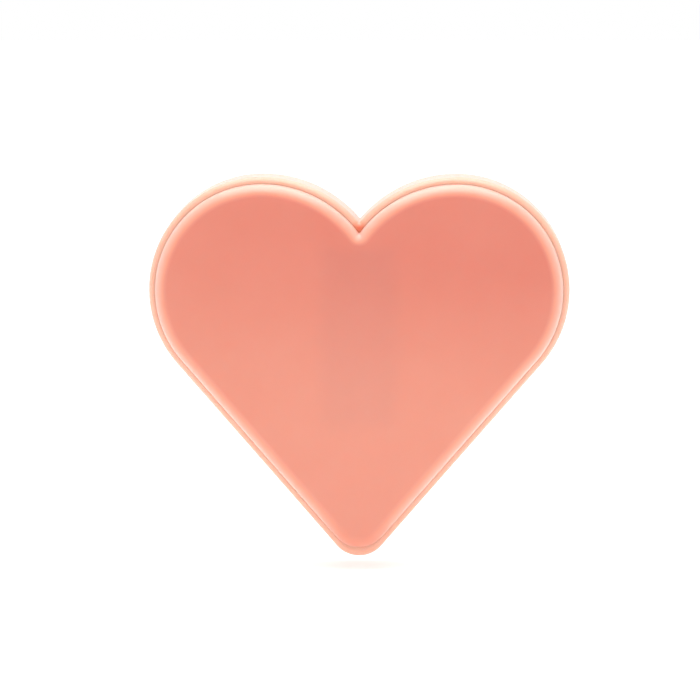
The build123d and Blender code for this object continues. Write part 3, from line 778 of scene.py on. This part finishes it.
class LANTERN_OT_rear_shell(bpy.types.Operator):
    """Model the deep rear shell with its rim, battery bay, keyhole and switch recess"""
    bl_idname = "lantern.rear_shell"
    bl_label = "Rear shell"

    def execute(self, context):
        shape = context.scene.lantern_shape
        colours = context.scene.lantern_colours
        rim_y = SHELL_LOW.y
        shell = heart_block("heart_back", shape.rear_lobe_radius, 0.0, 0.0, rim_y,
                            shape.arc_steps)
        edit(shell)
        select_edges(shell, lambda co: co.y > -TOUCH)
        bpy.ops.mesh.bevel(offset=shape.back_round, segments=10, clamp_overlap=False)
        select_edges(shell, lambda co: co.y < rim_y + TOUCH)
        bpy.ops.mesh.bevel(offset=shape.rim_round, segments=10, clamp_overlap=False)
        leave_edit()
        hollow = heart_block("hollow", shape.cover_lobe_radius, shape.seam_gap, -shape.wall,
                             rim_y - 0.001, shape.arc_steps)
        cut(shell, hollow)

        for half, depth, z_low, z_high in INNER_WALLS:
            add(shell, astride("inner", half, depth, z_low, z_high, WALL_ROOT))
        add(shell, post("insert_boss", 0.0, DOOR_SCREW_Z, -0.009, WALL_ROOT, BOSS_R))
        for x in (-SCREW_X, SCREW_X):
            add(shell, post("case_boss", x, SCREW_Z, SCREW_MEET, WALL_ROOT, 0.004))

        for half, depth, z_low, z_high, outer in OPENINGS:
            cut(shell, astride("opening", half, depth, z_low, z_high, outer))
        for x, z, depth, outer, radius in ROUND_HOLES:
            cut(shell, post("hole", x, z, -depth, outer, radius))
        pin_room = DOOR_HIGH.x + 0.0002
        cut(shell, post("barrel_room", HINGE_Y, HINGE_Z, -RECESS_HALF, RECESS_HALF,
                        BARREL_R + 0.0003, turn="X"))
        cut(shell, post("pin_room", HINGE_Y, HINGE_Z, -pin_room, pin_room,
                        PIN_R + 0.00005, turn="X"))
        smooth(shell)
        dress(shell, coral_plastic("coral_shell", colours.face_top_shaded, colours.face_tip_lit,
                                   rim=colours.rim))
        stand_for(shell, "rear_shell", "housing")
        return {"FINISHED"}


class LANTERN_OT_battery_door(bpy.types.Operator):
    """Model the battery door with its hinge barrel, pins, tab and finger grooves"""
    bl_idname = "lantern.battery_door"
    bl_label = "Battery door"

    def execute(self, context):
        colours = context.scene.lantern_colours
        outer = -0.0002
        edge_round = 0.00035
        door = block("door", (-DOOR_HALF, -0.0018, -0.0832), (DOOR_HALF, outer, HINGE_Z),
                     edge_round)
        add(door, block("tab", (-TAB_HALF, -0.0034, -0.0900), (TAB_HALF, outer, -0.0829),
                        edge_round))
        add(door, post("barrel", HINGE_Y, HINGE_Z, -DOOR_HALF, DOOR_HALF, BARREL_R, turn="X"))
        add(door, post("pins", HINGE_Y, HINGE_Z, DOOR_LOW.x, DOOR_HIGH.x, PIN_R, turn="X"))
        groove_low, groove_pitch, groove_half = -0.0710, 0.0024, 0.0005
        for row in range(5):
            middle = groove_low + groove_pitch * row
            groove = block("groove", (-0.0070, -0.0006, middle - groove_half),
                           (0.0070, CUT_PAST, middle + groove_half), 0.0003)
            cut(door, groove)
        cut(door, post("sink", 0.0, DOOR_SCREW_Z, -0.0019, CUT_PAST, 0.0026))
        cut(door, post("screw_way", 0.0, DOOR_SCREW_Z, -0.0040, CUT_PAST, 0.00133))
        smooth(door)
        dress(door, coral_plastic("coral_door", colours.face_top_shaded, colours.face_tip_lit))
        stand_for(door, "battery_door", "door")
        return {"FINISHED"}


class LANTERN_OT_switch_knob(bpy.types.Operator):
    """Model the slide switch's ribbed cap and its stem"""
    bl_idname = "lantern.switch_knob"
    bl_label = "Switch knob"

    def execute(self, context):
        middle = (KNOB_LOW.z + KNOB_HIGH.z) / 2
        cap_half = 0.0018
        stem_half = 0.0009
        rib_gap_half = 0.00035
        knob = block("knob", (-0.0030, -0.0025, middle - cap_half),
                     (0.0030, -0.0006, middle + cap_half), 0.0004, 4)
        for x in (-0.0016, 0.0, 0.0016):
            cut(knob, block("rib_gap", (x - rib_gap_half, -0.0010, middle - 0.0030),
                            (x + rib_gap_half, CUT_PAST, middle + 0.0030)))
        add(knob, block("stem", (-0.0013, -0.0062, middle - stem_half),
                        (0.0013, -0.0020, middle + stem_half), 0.0002))
        smooth(knob)
        dress(knob, dark_plastic("knob_plastic", (0.018, 0.018, 0.020), 0.45))
        stand_for(knob, "switch_knob", "switch_knob")
        return {"FINISHED"}


class LANTERN_OT_inner_parts(bpy.types.Operator):
    """Finish the boards, cells, contacts, lamps and fasteners"""
    bl_idname = "lantern.inner_parts"
    bl_label = "Inner parts"

    def execute(self, context):
        colours = context.scene.lantern_colours
        steel = plated_metal("zinc_plate", (0.60, 0.60, 0.62))
        nickel = plated_metal("nickel_plate", (0.72, 0.70, 0.66), 0.04, 0.22)
        brass = plated_metal("turned_brass", (0.78, 0.56, 0.24), 0.08, 0.26)
        board = circuit_board("green_board")
        black = dark_plastic("chip_body", (0.012, 0.012, 0.013))
        resin = clear_resin("lamp_resin")
        sleeve = lead_sleeve("pale_sleeve")
        for node in ("case_screws", "board_screws", "door_screw"):
            redress(node, steel)
        for node in ("positive_contact", "negative_contact", "bridge_contact",
                     "contact_springs", "switch_case"):
            redress(node, nickel)
        redress("door_insert", brass)
        for node in ("control_board", "led_board_left", "led_board_right", "led_board_lower"):
            redress(node, board)
        for node in ("timer_chip", "control_resistors", "led_resistors"):
            redress(node, black)
        for node in ("leds_left", "leds_right", "leds_lower"):
            redress(node, resin)
        for node in ("left_led_lead", "right_led_lead", "lower_led_lead"):
            redress(node, sleeve)
        low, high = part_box("cell_left")
        redress("cell_left", cell_wrap("cell_left_wrap", high.z, low.z))
        low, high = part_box("cell_right")
        redress("cell_right", cell_wrap("cell_right_wrap", low.z, high.z))
        return {"FINISHED"}


class LANTERN_OT_stage(bpy.types.Operator):
    """Add the pale floor and the soft studio light"""
    bl_idname = "lantern.stage"
    bl_label = "Floor and light"

    def execute(self, context):
        stage = context.scene.lantern_stage
        deselect()
        floor_z = SHELL_LOW.z - stage.floor_gap
        bpy.ops.mesh.primitive_plane_add(size=12.0, location=(0.0, 0.0, floor_z))
        floor = context.object
        floor.name = "floor"
        bpy.ops.object.transform_apply(location=True)
        finish, tree, shader, place = new_finish("pale_floor")
        tone = blend(tree, noise(tree, place, 3.0), (0.90, 0.90, 0.90), (0.93, 0.93, 0.93))
        tree.links.new(tone, shader.inputs["Base Color"])
        shader.inputs["Roughness"].default_value = 0.9
        shader.inputs["Emission Color"].default_value = (1.0, 1.0, 1.0, 1.0)
        shader.inputs["Emission Strength"].default_value = stage.floor_glow
        dress(floor, finish)

        lights = [
            ("top_light", (0.0, -0.06, 0.40), (0.0, -0.03, 0.0), 0.5, stage.top_light),
            ("left_light", (-0.50, -0.05, 0.10), (0.0, -0.03, -0.05), 0.5, stage.side_light),
            ("right_light", (0.50, -0.05, 0.10), (0.0, -0.03, -0.05), 0.5, stage.side_light),
        ]
        for name, place, aim, size, power in lights:
            bpy.ops.object.light_add(type="AREA", location=place)
            lamp = context.object
            lamp.name = name
            lamp.data.shape = "SQUARE"
            lamp.data.size = size
            lamp.data.energy = power
            lamp.visible_camera = False
            way = Vector(aim) - Vector(place)
            lamp.rotation_euler = way.to_track_quat("-Z", "Y").to_euler()

        world = bpy.data.worlds.new("white_room")
        world.use_nodes = True
        ground = world.node_tree.nodes["Background"]
        ground.inputs["Color"].default_value = (1.0, 1.0, 1.0, 1.0)
        ground.inputs["Strength"].default_value = stage.world_light
        context.scene.world = world
        context.scene.view_settings.view_transform = "Standard"
        return {"FINISHED"}


class LANTERN_PT_panel(bpy.types.Panel):
    """Lists the lantern's pieces and its stage"""
    bl_idname = "LANTERN_PT_panel"
    bl_label = "Heart Wall Lantern"
    bl_space_type = "VIEW_3D"
    bl_region_type = "UI"
    bl_category = "Lantern"

    def draw(self, context):
        layout = self.layout
        for step in STEPS:
            layout.operator(step.bl_idname)
        for group in (context.scene.lantern_shape, context.scene.lantern_colours,
                      context.scene.lantern_stage):
            box = layout.box()
            for name in group.__annotations__:
                box.prop(group, name)


STEPS = (
    LANTERN_OT_camera,
    LANTERN_OT_front_cover,
    LANTERN_OT_rear_shell,
    LANTERN_OT_battery_door,
    LANTERN_OT_switch_knob,
    LANTERN_OT_inner_parts,
    LANTERN_OT_stage,
)
GROUPS = (LanternShape, LanternColours, LanternStage)


def register():
    for group in GROUPS:
        bpy.utils.register_class(group)
    bpy.types.Scene.lantern_shape = PointerProperty(type=LanternShape)
    bpy.types.Scene.lantern_colours = PointerProperty(type=LanternColours)
    bpy.types.Scene.lantern_stage = PointerProperty(type=LanternStage)
    for step in STEPS:
        bpy.utils.register_class(step)
    bpy.utils.register_class(LANTERN_PT_panel)


def unregister():
    bpy.utils.unregister_class(LANTERN_PT_panel)
    for step in reversed(STEPS):
        bpy.utils.unregister_class(step)
    del bpy.types.Scene.lantern_stage
    del bpy.types.Scene.lantern_colours
    del bpy.types.Scene.lantern_shape
    for group in reversed(GROUPS):
        bpy.utils.unregister_class(group)


def main():
    register()
    for step in STEPS:
        area, name = step.bl_idname.split(".")
        if getattr(getattr(bpy.ops, area), name)() != {"FINISHED"}:
            raise RuntimeError(step.bl_label + " didn't finish")


if __name__ == "__main__":
    main()
